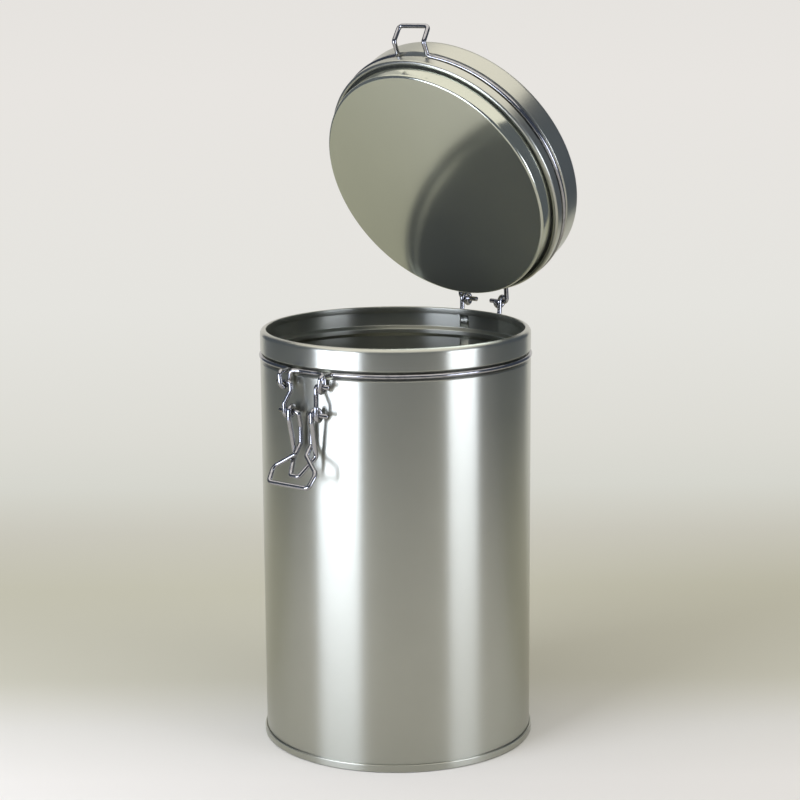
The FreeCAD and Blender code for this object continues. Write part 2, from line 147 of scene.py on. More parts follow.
# ---- finishes ----
@dataclass(frozen=True)
class TinplateFinish:
    """Bright electrolytic tinplate with a satin, cold-rolled grain.

    The tin coating gives a grey, faintly warm mirror that is blurred by the
    rolling grain, so lamps show as long streaks across the grain lines.
    Colours are the bright and the dulled coating, streak is the anisotropy,
    and bare is the share that shines as metal; the rest is dull oxide.
    """

    name: str
    colour: str = "#bcbdb2"
    dulled: str = "#b4b5aa"
    roughness: float = 0.29
    streak: float = 0.84
    bare: float = 0.96
    # Rolling lines are too fine to show, so they are drawn this coarse.
    grain_mm: float = 0.22
    grain_run_mm: float = 18.0
    grain_depth: float = 0.03
    cloud_mm: float = 26.0
    grain_turn: tuple[float, float, float] = (0.0, 0.0, 0.0)
    around: bool = True

    def make(self) -> bpy.types.Material:
        """Build the material.

        Returns:
            A material whose grain lines lie square to the turned Z axis.
        """
        material, tree = fresh_material(self.name)
        place = add_node(tree, "ShaderNodeTexCoord")
        turned = add_node(
            tree,
            "ShaderNodeMapping",
            inputs={"Vector": place.outputs["Object"], "Rotation": self.grain_turn},
        )
        along = 1 / self.grain_run_mm / MM
        across = 1 / self.grain_mm / MM
        lines = add_node(
            tree,
            "ShaderNodeMapping",
            inputs={"Vector": turned.outputs["Vector"], "Scale": (along, along, across)},
        )
        grain = add_node(
            tree,
            "ShaderNodeTexNoise",
            inputs={
                "Vector": lines.outputs["Vector"],
                "Scale": 1.0,
                "Detail": 3.0,
                "Roughness": 0.6,
            },
        )
        cloud = add_node(
            tree,
            "ShaderNodeTexNoise",
            inputs={
                "Vector": turned.outputs["Vector"],
                "Scale": 1 / self.cloud_mm / MM,
                "Detail": 4.0,
                "Roughness": 0.55,
            },
        )
        tone = add_node(
            tree,
            "ShaderNodeMix",
            settings={"data_type": "RGBA"},
            inputs={
                "Factor": cloud.outputs["Fac"],
                MIX_FIRST: linear(self.colour),
                MIX_SECOND: linear(self.dulled),
            },
        )
        rough = add_node(
            tree,
            "ShaderNodeMapRange",
            inputs={
                "Value": grain.outputs["Fac"],
                "From Min": 0.3,
                "From Max": 0.7,
                "To Min": self.roughness * (1 - self.grain_depth),
                "To Max": self.roughness * (1 + self.grain_depth),
            },
        )
        shine = {
            "Base Color": tone.outputs[MIX_RESULT],
            "Metallic": self.bare,
            "Roughness": rough.outputs["Result"],
        }
        if self.around:
            radial = {"direction_type": "RADIAL", "axis": "Z"}
            tangent = add_node(tree, "ShaderNodeTangent", settings=radial)
            shine["Anisotropic"] = self.streak
            shine["Anisotropic Rotation"] = QUARTER_TURN
            shine["Tangent"] = tangent.outputs["Tangent"]
        shader = add_node(tree, "ShaderNodeBsdfPrincipled", inputs=shine)
        add_node(tree, "ShaderNodeOutputMaterial", inputs={"Surface": shader.outputs["BSDF"]})
        return material


@dataclass(frozen=True)
class PlatedWireFinish:
    """Hard-drawn steel wire with a bright nickel plating.

    Drawing leaves the wire smooth, so it shows thin sharp highlights along its
    length, and the plating is worn darker and duller in small patches.
    """

    name: str = "bright nickel plated steel wire"
    colour: str = "#a9a9ac"
    worn: str = "#88878a"
    roughness: float = 0.13
    wear_mm: float = 3.0
    # Drawing lines are too fine to show, so they are drawn this coarse.
    draw_mm: float = 0.3
    draw_depth_mm: float = 0.01

    def make(self) -> bpy.types.Material:
        """Build the material.

        Returns:
            The plated wire material.
        """
        material, tree = fresh_material(self.name)
        place = add_node(tree, "ShaderNodeTexCoord")
        patches = add_node(
            tree,
            "ShaderNodeTexNoise",
            inputs={
                "Vector": place.outputs["Object"],
                "Scale": 1 / self.wear_mm / MM,
                "Detail": 3.0,
                "Roughness": 0.6,
            },
        )
        worn = add_node(
            tree,
            "ShaderNodeMapRange",
            inputs={"Value": patches.outputs["Fac"], "From Min": 0.5, "From Max": 0.8},
        )
        tone = add_node(
            tree,
            "ShaderNodeMix",
            settings={"data_type": "RGBA"},
            inputs={
                "Factor": worn.outputs["Result"],
                MIX_FIRST: linear(self.colour),
                MIX_SECOND: linear(self.worn),
            },
        )
        rough = add_node(
            tree,
            "ShaderNodeMapRange",
            inputs={
                "Value": patches.outputs["Fac"],
                "From Min": 0.35,
                "From Max": 0.8,
                "To Min": self.roughness * 0.8,
                "To Max": self.roughness * 1.7,
            },
        )
        lines = add_node(
            tree,
            "ShaderNodeTexNoise",
            inputs={
                "Vector": place.outputs["Object"],
                "Scale": 1 / self.draw_mm / MM,
                "Detail": 2.0,
            },
        )
        relief = add_node(
            tree,
            "ShaderNodeBump",
            inputs={
                "Height": lines.outputs["Fac"],
                "Strength": 0.15,
                "Distance": self.draw_depth_mm * MM,
            },
        )
        shader = add_node(
            tree,
            "ShaderNodeBsdfPrincipled",
            inputs={
                "Base Color": tone.outputs[MIX_RESULT],
                "Metallic": 1.0,
                "Roughness": rough.outputs["Result"],
                "Normal": relief.outputs["Normal"],
            },
        )
        add_node(tree, "ShaderNodeOutputMaterial", inputs={"Surface": shader.outputs["BSDF"]})
        return material


# ---- mesh methods ----
@dataclass(frozen=True)
class Corner:
    """One corner of a turned section: radius, height and bend radius in mm."""

    radius: float
    height: float
    bend: float = 0.0


@dataclass(frozen=True)
class Bend:
    """One corner of a wire's centre line and its bend radius in mm."""

    place: Vector
    radius: float = 0.0


def setback(before: Vector, corner: Vector, after: Vector, radius: float) -> float:
    """Distance from a corner at which a bend of the given radius starts."""
    opening = (before - corner).angle(after - corner)
    return radius / math.tan(opening / 2)


def keep_piece(mesh: bmesh.types.BMesh, name: str) -> bpy.types.Object:
    """Turn a finished bmesh into a smooth-shaded object at the origin.

    Args:
        mesh: The finished bmesh in metres; it is freed here.
        name: The piece's name.

    Returns:
        The new object.
    """
    data = bpy.data.meshes.new(name)
    mesh.to_mesh(data)
    mesh.free()
    data.shade_smooth()
    piece = bpy.data.objects.new(name, data)
    bpy.context.scene.collection.objects.link(piece)
    return piece


def round_off(
    mesh: bmesh.types.BMesh,
    items: Sequence[object],
    offset: float,
    affect: str,
    segments: int,
) -> None:
    """Bevel vertices or edges to a round.

    Args:
        mesh: The mesh that holds them.
        items: The vertices or edges.
        offset: Where the round starts, in metres from the corner.
        affect: VERTICES or EDGES.
        segments: Divisions of the round.
    """
    bmesh.ops.bevel(
        mesh,
        geom=items,
        offset=offset,
        offset_type="OFFSET",
        affect=affect,
        segments=segments,
        profile=0.5,
        material=-1,
    )


def spin_up(
    mesh: bmesh.types.BMesh, items: Sequence[object], angle: float, steps: int, merge: bool = False
) -> list[object]:
    """Spin parts of a mesh about the can axis.

    Args:
        mesh: The mesh that holds them.
        items: The vertices, edges and faces to spin.
        angle: How far to turn, in radians.
        steps: Divisions of the turn.
        merge: Whether the last step closes on the first, for a full turn.

    Returns:
        What the last step made.
    """
    spun = bmesh.ops.spin(
        mesh,
        geom=items,
        cent=(0, 0, 0),
        axis=(0, 0, 1),
        dvec=(0, 0, 0),
        angle=angle,
        steps=steps,
        use_merge=merge,
    )
    return spun["geom_last"]


def turned_sheet(
    name: str,
    corners: Sequence[Corner],
    place: Matrix = Matrix.Identity(4),
    steps: int = 288,
    rounds: int = 6,
) -> bpy.types.Object:
    """Spin a closed section about the can axis.

    Args:
        name: The piece's name.
        corners: The section's corners in order.
        place: Where the turned piece goes, in metres.
        steps: Divisions round the axis.
        rounds: Divisions of every bend.

    Returns:
        The new object, with weighted normals so that flats stay flat.
    """
    mesh = bmesh.new()
    verts = [mesh.verts.new((c.radius * MM, 0, c.height * MM)) for c in corners]
    mesh.faces.new(verts)
    spots = [vert.co.copy() for vert in verts]
    for index, (vert, corner) in enumerate(zip(verts, corners)):
        if corner.bend <= 0:
            continue
        following = spots[(index + 1) % len(spots)]
        reach = setback(spots[index - 1], spots[index], following, corner.bend * MM)
        round_off(mesh, [vert], reach, "VERTICES", rounds)
    bmesh.ops.delete(mesh, geom=list(mesh.faces), context="FACES_ONLY")
    spin_up(mesh, mesh.verts[:] + mesh.edges[:], math.tau, steps, merge=True)
    bmesh.ops.remove_doubles(mesh, verts=mesh.verts[:], dist=SHEET_WELD)
    bmesh.ops.recalc_face_normals(mesh, faces=mesh.faces[:])
    bmesh.ops.transform(mesh, matrix=place, verts=mesh.verts[:])
    piece = keep_piece(mesh, name)
    weighted = piece.modifiers.new("flats stay flat", "WEIGHTED_NORMAL")
    weighted.mode = "FACE_AREA"
    weighted.weight = 100
    return piece


class WirePath:
    """The centre line of a bent wire, grown from its start with bmesh operators."""

    def __init__(self, start: Vector) -> None:
        """Start the line at a point.

        Args:
            start: The first point in millimetres.
        """
        self.mesh = bmesh.new()
        self.tip = self.mesh.verts.new(start * MM)

    def run(self, corners: Sequence[Bend], rounds: int = 8) -> None:
        """Add straight runs with bent corners; the last corner is the new tip.

        Args:
            corners: The corners after the present tip.
            rounds: Divisions of every bend.
        """
        spots = [self.tip.co.copy()] + [corner.place * MM for corner in corners]
        added = []
        for spot in spots[1:]:
            grown = bmesh.ops.extrude_vert_indiv(self.mesh, verts=[self.tip])["verts"][0]
            grown.co = spot
            added.append(grown)
            self.tip = grown
        for index in range(1, len(spots) - 1):
            bend = corners[index - 1].radius * MM
            if bend <= 0:
                continue
            before, corner, after = spots[index - 1 : index + 2]
            # A bend stops just short of the next corner, so that none is swallowed.
            room = 0.999 * min((corner - before).length, (after - corner).length)
            reach = min(setback(before, corner, after, bend), room)
            round_off(self.mesh, [added[index - 1]], reach, "VERTICES", rounds)

    def ring(self, angle: float, steps: int) -> None:
        """Carry the line on round the can axis.

        Args:
            angle: How far to turn about +Z, in degrees.
            steps: Divisions of the arc.
        """
        made = spin_up(self.mesh, [self.tip], math.radians(angle), steps)
        self.tip = next(item for item in made if isinstance(item, bmesh.types.BMVert))

    def both_sides(self) -> list[Vector]:
        """Mirror the half line about the middle plane and list its points in order.

        Returns:
            Points of the whole centre line, from one end to the other.
        """
        bmesh.ops.remove_doubles(self.mesh, verts=self.mesh.verts[:], dist=WIRE_WELD)
        self.mesh.verts.ensure_lookup_table()
        ends = [vert for vert in self.mesh.verts if len(vert.link_edges) == 1]
        vert = min(ends, key=lambda end: abs(end.co.x))
        half = [vert.co.copy()]
        edge = None
        while True:
            onward = [item for item in vert.link_edges if item is not edge]
            if not onward:
                break
            edge = onward[0]
            vert = edge.other_vert(vert)
            half.append(vert.co.copy())
        self.mesh.free()
        # The point on the middle plane comes once, from the half itself.
        mirrored = [Vector((-spot.x, spot.y, spot.z)) for spot in half[1:]]
        return mirrored[::-1] + half


def wire_piece(
    name: str, points: Sequence[Vector], diameter: float, place: Matrix = Matrix.Identity(4)
) -> bpy.types.Object:
    """Make a round wire along a centre line.

    Args:
        name: The piece's name.
        points: The centre line in metres.
        diameter: Wire diameter in millimetres.
        place: Where the wire goes.

    Returns:
        The new mesh object with closed, slightly rounded ends.
    """
    line = bpy.data.curves.new(name, "CURVE")
    line.dimensions = "3D"
    spline = line.splines.new("POLY")
    spline.points.add(len(points) - 1)
    for point, spot in zip(spline.points, points):
        point.co = (*spot, 1)
    line.bevel_depth = diameter / 2 * MM
    line.bevel_resolution = 8
    line.use_fill_caps = True
    line.twist_mode = "MINIMUM"
    temporary = bpy.data.objects.new(name, line)
    bpy.context.scene.collection.objects.link(temporary)
    bpy.context.view_layer.update()
    graph = bpy.context.evaluated_depsgraph_get()
    data = bpy.data.meshes.new_from_object(temporary.evaluated_get(graph))
    bpy.data.objects.remove(temporary)
    mesh = bmesh.new()
    mesh.from_mesh(data)
    bpy.data.meshes.remove(data)
    bmesh.ops.remove_doubles(mesh, verts=mesh.verts[:], dist=WIRE_WELD)
    caps = [face for face in mesh.faces if len(face.verts) > 4]
    rims = list({edge for face in caps for edge in face.edges})
    round_off(mesh, rims, 0.12 * diameter * MM, "EDGES", 3)
    bmesh.ops.recalc_face_normals(mesh, faces=mesh.faces[:])
    bmesh.ops.transform(mesh, matrix=place, verts=mesh.verts[:])
    return keep_piece(mesh, name)


# ---- shared ----
@dataclass(frozen=True)
class Tin:
    """Sizes that more than one sub-assembly needs, in mm and degrees."""

    radius: float = 54.0
    height: float = 167.0
    wall: float = 0.5
    rim_width: float = 2.4
    groove_drop: float = 10.5
    groove_mouth: float = 4.0
    groove_floor: float = 1.4
    wire: float = 1.9
    ring_proud: float = 0.5
    floor_gap: float = 0.15
    # How far beside a bend a wire leaves its ring.
    lead: float = 3.3003
    eye_width: float = 4.2
    eye_height: float = 6.2
    eye_shift: float = 2.1
    eye_inner: float = 8.2
    eye_stand: float = 0.6
    hinge_back: float = 60.4
    hinge_rise: float = 3.2
    lid_open: float = 63.5
    lid_gap: float = 0.3
    link_drop: float = 11.2
    # How far each corner of a coil has stepped sideways, as a share of its step.
    turn_shares: tuple[float, ...] = (0.0, 0.3, 0.6, 0.95, 1.0)

    @property
    def ring(self) -> float:
        """Centre-line radius of both ring wires."""
        return self.radius + self.ring_proud - self.wire / 2

    @property
    def neck(self) -> float:
        """Height of the neck groove's middle."""
        return self.height - self.groove_drop

    @property
    def edge(self) -> float:
        """Height of the closed lid's edge."""
        return self.height + self.lid_gap

    @property
    def loop(self) -> float:
        """Half the width of an eye or coil."""
        return self.eye_width / 2

    @property
    def tight(self) -> float:
        """Bend radius of a full turn of wire."""
        return self.loop * 0.97

    @property
    def bend(self) -> float:
        """Bend radius of a plain bend."""
        return self.wire * 0.85

    @property
    def short(self) -> float:
        """The tightest bend that the wire takes."""
        return self.wire * 0.55

    @property
    def eye_near(self) -> float:
        """Centre line of the clip eye's inner leg."""
        face = math.sqrt(self.radius**2 - self.eye_inner**2)
        return -(face + self.eye_stand + self.wire / 2)

    @property
    def lever_axis(self) -> tuple[float, float]:
        """The lever pegs' axis as y and z."""
        return (self.eye_near - self.loop, self.neck - self.eye_height + self.loop)

    @property
    def bail_axis(self) -> tuple[float, float]:
        """The bail rod's axis as y and z."""
        y, z = self.lever_axis
        return (y, z - self.link_drop)

    @property
    def hinge_axis(self) -> tuple[float, float]:
        """The lid hinge's axis as y and z."""
        return (self.hinge_back, self.height + self.hinge_rise)

    def opened(self) -> Matrix:
        """Swing the closed lid to where it stands open.

        Returns:
            The turn about the hinge axis.
        """
        y, z = self.hinge_axis
        there = Matrix.Translation(Vector((0, y, z)) * MM)
        turn = Matrix.Rotation(math.radians(self.lid_open), 4, Vector((-1, 0, 0)))
        return there @ turn @ there.inverted()

    def ring_angle(self, x: float) -> float:
        """Angle from the front at which a ring wire is x from the middle plane."""
        return math.degrees(math.asin(x / self.ring))

    def ring_point(self, angle: float, z: float) -> Vector:
        """A point of a ring wire; 0 degrees is the front, 180 the back."""
        turn = math.radians(angle)
        return Vector((self.ring * math.sin(turn), -self.ring * math.cos(turn), z))

    def tangent_point(self, angle: float, x: float, z: float) -> Vector:
        """Find where the tangent of a ring crosses the plane at x.

        Args:
            angle: Where the tangent touches the ring, in degrees from the front.
            x: Distance from the middle plane.
            z: Height of the ring.

        Returns:
            The crossing point in mm.
        """
        turn = math.radians(angle)
        touch = self.ring_point(angle, z)
        along = Vector((math.cos(turn), math.sin(turn), 0))
        return touch + along * ((x - touch.x) / math.cos(turn))

    def coil(self, x: float, step: float, places: Sequence[tuple[float, float]]) -> list[Vector]:
        """Corners of a turn of wire through the (y, z) places, stepped sideways."""
        return [Vector((x + step * share, y, z)) for share, (y, z) in zip(self.turn_shares, places)]

    @property
    def groove_bottom(self) -> float:
        """Radius of a groove's floor."""
        return self.radius + self.ring_proud - self.wire - self.floor_gap

    def groove(self, middle: float, inside: bool) -> list[Corner]:
        """Draw a groove in one face of a wall.

        Args:
            middle: Height of the groove's middle.
            inside: Whether it is the wall's inner face.

        Returns:
            Its corners, upwards on the outer face and downwards on the inner.
        """
        bend = self.wall * 0.8
        inset = self.wall if inside else 0.0
        mouth = self.groove_mouth / 2 + inset / 3
        floor = self.groove_floor / 2 + inset / 3
        corners = [
            Corner(self.radius - inset, middle - mouth, bend),
            Corner(self.groove_bottom - inset, middle - floor, bend),
            Corner(self.groove_bottom - inset, middle + floor, bend),
            Corner(self.radius - inset, middle + mouth, bend),
        ]
        return corners[::-1] if inside else corners


@dataclass
class SubAssembly:
    """A group of pieces that are built, dressed and reported together."""

    tin: Tin

    def keep(
        self,
        piece: bpy.types.Object,
        node: str,
        body: Body,
        slot: Slot,
        material: bpy.types.Material,
    ) -> None:
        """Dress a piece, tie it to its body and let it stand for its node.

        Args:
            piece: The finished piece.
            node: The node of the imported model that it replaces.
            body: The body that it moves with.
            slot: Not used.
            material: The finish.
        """
        dress(piece, material)
        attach(piece, body.value)
        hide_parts(node)
        log.info("%s: %d faces, on %s", piece.name, len(piece.data.polygons), body.value)


# ---- can ----
@dataclass
class Can(SubAssembly):
    """The wall with its rolled rim and neck groove, the seamed base and the neck wire."""

    rim_round: float = 1.9
    rim_hem: float = 2.6
    seam_lap: float = 0.2
    seam_angle: float = 4.4
    seam_turn: float = 5.2
    chime_height: float = 3.0
    chime_proud: float = 0.75
    chime_web: float = 0.7
    chime_inner: float = 1.1
    panel_rise: float = 3.1
    panel_sheet: float = 0.5
    bead_radius: float = 42.0
    bead_width: float = 5.0
    bead_depth: float = 0.7
    bead_bend: float = 1.0
    panel_bend: float = 0.5
    chuck_bend: float = 0.2
    sheet_gap: float = 0.1
    ear_x: float = 9.6
    ear_foot: float = 55.6

    def build_wall(self) -> bpy.types.Object:
        """Turn the wall section, rim and neck groove included.

        Returns:
            The wall.
        """
        tin = self.tin
        mouth = tin.radius - tin.rim_width
        foot = self.chime_web + self.sheet_gap
        corners = [
            Corner(tin.radius, foot),
            *tin.groove(tin.neck, inside=False),
            Corner(tin.radius, tin.height, self.rim_round),
            Corner(mouth, tin.height, tin.wall * 0.9),
            Corner(mouth, tin.height - self.rim_hem),
            Corner(mouth + tin.wall, tin.height - self.rim_hem),
            Corner(mouth + tin.wall, tin.height - tin.wall),
            Corner(tin.radius - tin.wall, tin.height - tin.wall, (self.rim_round - tin.wall) * 0.9),
            *tin.groove(tin.neck, inside=True),
            Corner(tin.radius - tin.wall, foot),
        ]
        return turned_sheet("can_wall", corners)

    def build_seam(self) -> bpy.types.Object:
        """Lay the lapped seam strip up the inside of the wall, in two spans.

        Returns:
            The strip, sunk half way into the wall's thickness.
        """
        tin = self.tin
        inner = tin.radius - tin.wall - self.seam_lap
        outer = tin.radius - tin.wall / 2
        shoulder = tin.groove_mouth / 2 + tin.wall
        spans = (
            (self.panel_rise + self.panel_sheet + tin.wall, tin.neck - shoulder),
            (tin.neck + shoulder, tin.height - self.rim_hem),
        )
        start = math.radians(90 + self.seam_turn - self.seam_angle / 2)
        heading = Vector((math.cos(start), math.sin(start), 0))
        mesh = bmesh.new()
        for low, high in spans:
            section = ((inner, low), (outer, low), (outer, high), (inner, high))
            corners = [mesh.verts.new((heading * r + Vector((0, 0, z))) * MM) for r, z in section]
            face = mesh.faces.new(corners)
            section_parts = [face, *face.edges, *face.verts]
            spin_up(mesh, section_parts, math.radians(self.seam_angle), 6)
        bmesh.ops.recalc_face_normals(mesh, faces=mesh.faces[:])
        return keep_piece(mesh, "side_seam_strip")

    def build_base(self) -> bpy.types.Object:
        """Turn the base panel, its bead and the double seam.

        Returns:
            The base.
        """
        radius = self.tin.radius
        chuck_out = radius - self.tin.wall - self.sheet_gap
        chuck_in = radius - self.chime_inner
        skirt_in = radius + self.sheet_gap
        skirt_out = radius + self.chime_proud
        rise = self.panel_rise
        top = rise + self.panel_sheet
        low = self.bead_radius - self.bead_width / 2
        high = self.bead_radius + self.bead_width / 2
        depth = self.bead_depth
        bead = self.bead_bend
        seam = self.chime_web * 0.6
        hook = (self.chime_proud - self.sheet_gap) * 0.6
        corners = [
            Corner(0, rise),
            Corner(low, rise, bead),
            Corner(low + depth, rise - depth, bead),
            Corner(high - depth, rise - depth, bead),
            Corner(high, rise, bead),
            Corner(chuck_in, rise, self.panel_bend),
            Corner(chuck_in, 0, seam),
            Corner(skirt_out, 0, seam),
            Corner(skirt_out, self.chime_height, hook),
            Corner(skirt_in, self.chime_height),
            Corner(skirt_in, self.chime_web),
            Corner(chuck_out, self.chime_web),
            Corner(chuck_out, top, self.chuck_bend),
            Corner(high, top, bead),
            Corner(high - depth, top - depth, bead),
            Corner(low + depth, top - depth, bead),
            Corner(low, top, bead),
            Corner(0, top),
        ]
        return turned_sheet("can_base", corners)

    def build_neck_wire(self) -> bpy.types.Object:
        """Bend the neck ring with its two clip eyes and two hinge ears.

        Returns:
            The neck wire, closed in front and open between the ears.
        """
        tin = self.tin
        neck = tin.neck
        low = neck - tin.eye_height
        near = tin.eye_near
        far = near - tin.eye_width
        bridge_x = tin.eye_inner - tin.lead
        eye_out = tin.eye_inner + tin.eye_shift
        leave = tin.ring_angle(bridge_x / 2)
        side = tin.ring_angle(eye_out + tin.lead)
        back = 180 - tin.ring_angle(self.ear_x + tin.lead)
        eye_places = [(near, neck), (near, low), (far, low), (far, neck)]
        eye = tin.coil(tin.eye_inner, tin.eye_shift, eye_places)
        path = WirePath(tin.ring_point(0, neck))
        path.ring(leave, 2)
        path.run(
            [
                Bend(tin.tangent_point(leave, bridge_x, neck), 2 * tin.bend),
                Bend(eye[0], tin.bend),
                Bend(eye[1], tin.tight),
                Bend(eye[2], tin.tight),
                Bend(eye[3], tin.bend),
                Bend(tin.tangent_point(side, eye_out, neck), tin.bend),
                Bend(tin.ring_point(side, neck)),
            ]
        )
        path.ring(back - side, 80)
        hinge_y, hinge_z = tin.hinge_axis
        front, rear = hinge_y - tin.loop, hinge_y + tin.loop
        above, below = hinge_z + tin.loop, hinge_z - tin.loop
        ear = tin.coil(
            self.ear_x,
            -tin.eye_shift,
            [(front, above), (rear, above), (rear, below), (front, below), (front, hinge_z)],
        )
        path.run(
            [
                Bend(tin.tangent_point(back, self.ear_x, neck), tin.bend),
                Bend(Vector((self.ear_x, self.ear_foot, neck)), tin.bend),
                Bend(Vector((self.ear_x, front, below - tin.bend)), tin.bend),
                *(Bend(corner, tin.tight) for corner in ear[:-1]),
                Bend(ear[-1]),
            ]
        )
        return wire_piece("neck_ring_wire", path.both_sides(), tin.wire)

    def build(self, sheet: bpy.types.Material, wire: bpy.types.Material) -> None:
        """Build and dress the can's pieces.

        Args:
            sheet: The tinplate finish of wall and base.
            wire: The plated wire finish.
        """
        self.keep(self.build_wall(), "can_body", Body.CAN, Slot.TINPLATE, sheet)
        self.keep(self.build_seam(), "can_body", Body.CAN, Slot.TINPLATE, sheet)
        self.keep(self.build_base(), "can_bottom", Body.CAN, Slot.TINPLATE, sheet)
        self.keep(self.build_neck_wire(), "body_ring", Body.CAN, Slot.STEEL_WIRE, wire)


# ---- lid ----
@dataclass
class Lid(SubAssembly):
    """The drawn cap, the plug that closes the mouth, and the catch wire."""

    depth: float = 18.1
    groove_rise: float = 6.0
    hem: float = 1.7
    edge_round: float = 1.1
    top_round: float = 3.0
    plug_clearance: float = 0.5
    plug_depth: float = 6.6
    plug_sheet: float = 0.4
    plug_round: float = 1.2
    plug_flange_gap: float = 0.6
    sheet_gap: float = 0.1
    catch_half: float = 7.3
    catch_draw: float = 0.15
    catch_shelf: float = 6.2
    catch_rise: float = 5.8
    catch_lean: float = 3.8
    arm_x: float = 11.8
    peg_end: float = 3.6

    def build_cap(self) -> bpy.types.Object:
        """Turn the lid shell with its groove and the hem under its edge.

        Returns:
            The lid shell, standing open.
        """
        tin = self.tin
        edge = tin.edge
        middle = edge + self.groove_rise
        top = edge + self.depth
        inner = tin.radius - tin.wall
        corners = [
            Corner(tin.radius - self.hem, edge),
            Corner(tin.radius, edge, self.edge_round),
            *tin.groove(middle, inside=False),
            Corner(tin.radius, top, self.top_round),
            Corner(0, top),
            Corner(0, top - tin.wall),
            Corner(inner, top - tin.wall, self.top_round - tin.wall),
            *tin.groove(middle, inside=True),
            Corner(inner, edge + tin.wall, self.edge_round - tin.wall),
            Corner(tin.radius - self.hem, edge + tin.wall),
        ]
        return turned_sheet("lid_cap_shell", corners, tin.opened())

    def build_plug(self) -> bpy.types.Object:
        """Turn the pressed plug whose flange is held over the lid hem.

        Returns:
            The plug, standing open with the lid.
        """
        tin = self.tin
        radius = tin.radius - tin.rim_width - self.plug_clearance
        face = tin.edge - self.plug_depth
        seat = tin.edge + tin.wall + self.sheet_gap
        flange = tin.radius - tin.wall - self.plug_flange_gap
        sheet = self.plug_sheet
        corners = [
            Corner(0, face),
            Corner(radius, face, self.plug_round),
            Corner(radius, seat),
            Corner(flange, seat),
            Corner(flange, seat + sheet),
            Corner(radius - sheet, seat + sheet),
            Corner(radius - sheet, face + sheet, self.plug_round - sheet),
            Corner(0, face + sheet),
        ]
        return turned_sheet("lid_plug_disc", corners, tin.opened())

    def build_catch_wire(self) -> bpy.types.Object:
        """Bend the lid ring with its catch in front and hinge pegs behind.

        Returns:
            The lid wire, standing open with the lid.
        """
        tin = self.tin
        groove = tin.edge + self.groove_rise
        side = tin.ring_angle(self.catch_half + tin.lead)
        back = 180 - tin.ring_angle(self.arm_x + tin.lead)
        foot = tin.tangent_point(side, self.catch_half, groove)
        shelf = foot.y - self.catch_shelf
        bar_y = shelf - self.catch_lean
        bar_z = groove + self.catch_rise
        path = WirePath(Vector((0, bar_y, bar_z)))
        path.run(
            [
                Bend(Vector((self.catch_half - self.catch_draw, bar_y, bar_z)), tin.bend),
                Bend(Vector((self.catch_half, shelf, groove)), tin.bend),
                Bend(foot, tin.bend),
                Bend(tin.ring_point(side, groove)),
            ]
        )
        path.ring(back - side, 80)
        hinge_y, hinge_z = tin.hinge_axis
        path.run(
            [
                Bend(tin.tangent_point(back, self.arm_x, groove), tin.bend),
                Bend(Vector((self.arm_x, hinge_y, hinge_z)), tin.bend),
                Bend(Vector((self.peg_end, hinge_y, hinge_z))),
            ]
        )
        return wire_piece("lid_ring_wire", path.both_sides(), tin.wire, tin.opened())

    def build(
        self, sheet: bpy.types.Material, plug_sheet: bpy.types.Material, wire: bpy.types.Material
    ) -> None:
        """Build and dress the lid's pieces.

        Args:
            sheet: The tinplate finish of the cap.
            plug_sheet: The brighter tinplate finish of the plug.
            wire: The plated wire finish.
        """
        self.keep(self.build_cap(), "lid_cap", Body.LID, Slot.TINPLATE, sheet)
        self.keep(self.build_plug(), "lid_plug", Body.LID, Slot.TINPLATE, plug_sheet)
        self.keep(self.build_catch_wire(), "lid_ring", Body.LID, Slot.STEEL_WIRE, wire)


